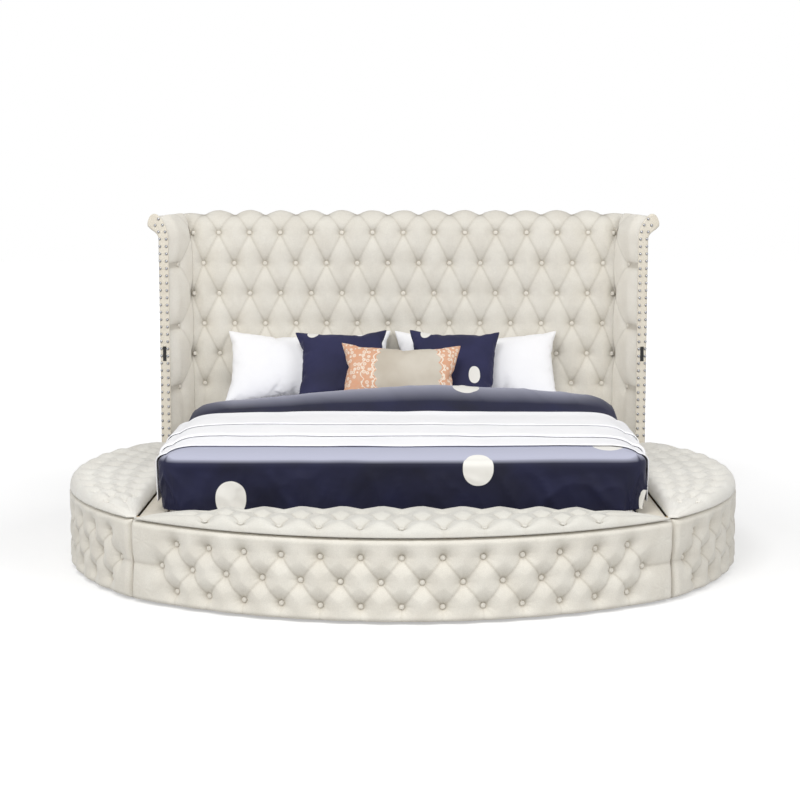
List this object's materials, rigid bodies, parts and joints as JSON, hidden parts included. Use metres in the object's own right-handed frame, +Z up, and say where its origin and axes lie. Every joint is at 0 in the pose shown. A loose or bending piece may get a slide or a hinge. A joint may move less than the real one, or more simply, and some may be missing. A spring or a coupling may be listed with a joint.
{
  "type": "round storage bed",
  "caption": "Round tufted storage bed: curved benches with hinged lids round a made-up mattress, tall winged headboard with rolled top and nail trim.",
  "frame": {"origin": "on the floor, under the middle of the bed's bounding box", "axes": "+Z up, +Y towards the headboard, +X to the right seen from the foot"},
  "size_m": [3.0598, 2.6712, 1.5643],
  "materials": {
    "velvet": "cream velvet with soft sheen",
    "velvet_lid": "pale cream velvet with soft sheen",
    "velvet_band": "cream velvet, smooth stretched band",
    "plywood": "bare plywood",
    "slat_wood": "planed pine",
    "back_cloth": "plain cream back cloth",
    "nail_chrome": "polished nail heads",
    "hinge_steel": "zinc plated",
    "port_black": "fine matt",
    "glide_black": "moulded nylon",
    "sheet_white": "plain white cotton",
    "quilt_navy": "navy cotton with sparse cream ovals",
    "throw_white": "soft white cotton blanket",
    "cushion_navy": "navy cotton with cream spots",
    "cushion_coral": "coral and cream woven print"
  },
  "bodies": {
    "bed_frame": {"bench_end_boards": "plywood", "bench_inner_boards": "plywood", "centre_legs": "slat_wood", "centre_rail": "slat_wood", "duvet": "quilt_navy", "front_bench_back": "plywood", "front_bench_floor": "plywood", "front_ledge": "velvet_band", "front_panel_board": "plywood", "front_panel_buttons": "velvet", "front_panel_pad": "velvet", "glides": "glide_black", "headboard_back_cover": "back_cloth", "headboard_board": "plywood", "headboard_buttons": "velvet", "headboard_pad": "velvet", "hinge_leaves": "hinge_steel", "hinge_pins": "hinge_steel", "left_bench_floor": "plywood", "left_cushion": "cushion_navy", "left_panel_board": "plywood", "left_panel_pad": "velvet", "left_pillow": "sheet_white", "left_wing_board": "plywood", "left_wing_front_band": "velvet_band", "left_wing_outer_cover": "velvet", "left_wing_pad": "velvet", "lumbar_cushion": "cushion_coral", "mattress": "sheet_white", "power_ports": "port_black", "right_bench_floor": "plywood", "right_cushion": "cushion_navy", "right_panel_board": "plywood", "right_panel_pad": "velvet", "right_pillow": "sheet_white", "right_wing_board": "plywood", "right_wing_front_band": "velvet_band", "right_wing_outer_cover": "velvet", "right_wing_pad": "velvet", "side_ledges": "velvet_band", "side_panel_buttons": "velvet", "side_rails": "slat_wood", "slat_cleats": "slat_wood", "slats": "slat_wood", "throw": "throw_white", "wing_buttons": "velvet", "wing_nailheads": "nail_chrome"},
    "front_lid": {"front_lid_board": "plywood", "front_lid_pad": "velvet_lid", "front_lid_buttons": "velvet_lid", "front_lid_leaves": "hinge_steel"},
    "left_lid": {"left_lid_board": "plywood", "left_lid_pad": "velvet_lid", "left_lid_buttons": "velvet_lid", "left_lid_leaves": "hinge_steel"},
    "right_lid": {"right_lid_board": "plywood", "right_lid_pad": "velvet_lid", "right_lid_buttons": "velvet_lid", "right_lid_leaves": "hinge_steel"}
  },
  "joints": [
    {"name": "front_lid_hinge", "type": "hinge", "parent": "bed_frame", "child": "front_lid", "pos_m": [0, -0.91863, 0.346], "axis": [-1, 0, 0], "range_deg": [0, 70]},
    {"name": "left_lid_hinge", "type": "hinge", "parent": "bed_frame", "child": "left_lid", "pos_m": [-1.084, 0.12372, 0.346], "axis": [0, 1, 0], "range_deg": [0, 60]},
    {"name": "right_lid_hinge", "type": "hinge", "parent": "bed_frame", "child": "right_lid", "pos_m": [1.084, 0.12372, 0.346], "axis": [0, -1, 0], "range_deg": [0, 60]}
  ]
}
